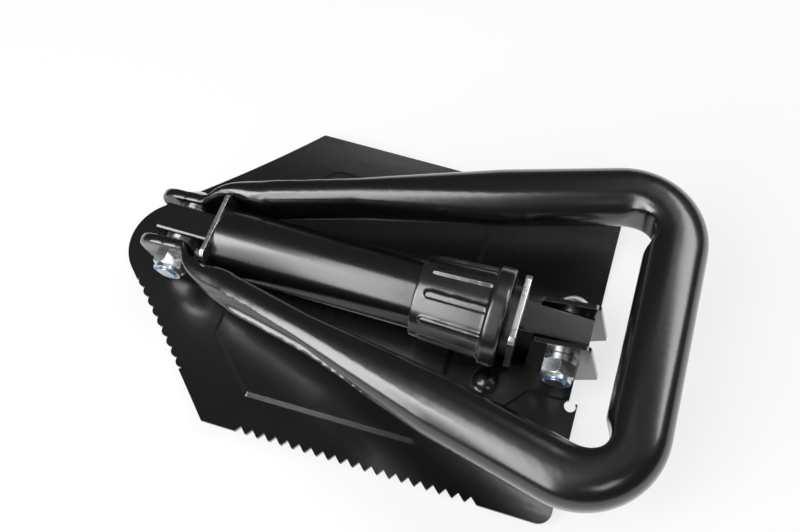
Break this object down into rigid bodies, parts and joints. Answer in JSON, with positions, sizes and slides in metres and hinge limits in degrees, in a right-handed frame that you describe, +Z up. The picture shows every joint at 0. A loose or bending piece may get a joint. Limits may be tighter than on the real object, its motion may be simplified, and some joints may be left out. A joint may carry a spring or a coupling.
{
  "type": "folding camp shovel",
  "caption": "Folding camp shovel with a dished saw-edged blade, a tube shaft locked by a ribbed screw collar, and a bent-tube D handle; stored folded.",
  "frame": {"origin": "on the blade's underside, straight below the blade pivot", "axes": "+X along the shaft from the blade tip towards the blade heel and the grip, +Y across the blade away from the saw edge, +Z up from the blade towards the shaft"},
  "size_m": [0.2519, 0.15, 0.0559],
  "materials": {
    "black_coat": "satin black powder coat over steel sheet and tube",
    "collar_nylon": "moulded glass-filled nylon, satin",
    "black_ring": "black oxide steel",
    "zinc_steel": "bright zinc plate",
    "plain_steel": "turned steel, oiled",
    "spring_steel": "drawn spring wire",
    "nylon_blue": "nylon locking insert"
  },
  "bodies": {
    "blade": {"blade": "black_coat", "hinge_bracket": "black_coat", "bracket_rivets": "black_coat", "blade_pivot_bolt": "zinc_steel", "blade_pivot_nut": "zinc_steel", "blade_nut_insert": "nylon_blue", "blade_pivot_washers": "zinc_steel"},
    "core": {"blade_end_channel": "black_coat", "handle_end_channel": "black_coat", "tie_rod": "zinc_steel", "tie_rod_pins": "zinc_steel", "spring_seat": "zinc_steel", "return_spring": "spring_steel", "hinge_shims": "zinc_steel", "shaft_tube": "black_coat", "end_plate": "zinc_steel", "threaded_sleeve": "plain_steel", "guide_bush": "plain_steel"},
    "lock": {"lock_plate": "zinc_steel", "thrust_ring": "black_ring"},
    "collar": {"locking_collar": "collar_nylon"},
    "handle": {"d_handle": "black_coat", "handle_pivot_bolt": "zinc_steel", "handle_pivot_nut": "zinc_steel", "handle_nut_insert": "nylon_blue"}
  },
  "joints": [
    {"name": "blade_fold", "type": "hinge", "parent": "blade", "child": "core", "pos_m": [0, 0, 0.0235], "axis": [0, 1, 0], "range_deg": [0, 166]},
    {"name": "handle_fold", "type": "hinge", "parent": "core", "child": "handle", "pos_m": [-0.172, 0, 0.0235], "axis": [0, -1, 0], "range_deg": [0, 174]},
    {"name": "plate_slide", "type": "slide", "parent": "core", "child": "lock", "axis": [1, 0, 0], "range_m": [0, 0.0057]},
    {"name": "collar_spin", "type": "hinge", "parent": "lock", "child": "collar", "pos_m": [-0.03, 0, 0.0235], "axis": [1, 0, 0], "range_deg": [0, 684]}
  ],
  "couplings": [
    {"joint": "blade_fold", "follows": "handle_fold", "ratio": 0.95401},
    {"joint": "collar_spin", "follows": "plate_slide", "rad_per_m": 2094.4}
  ]
}
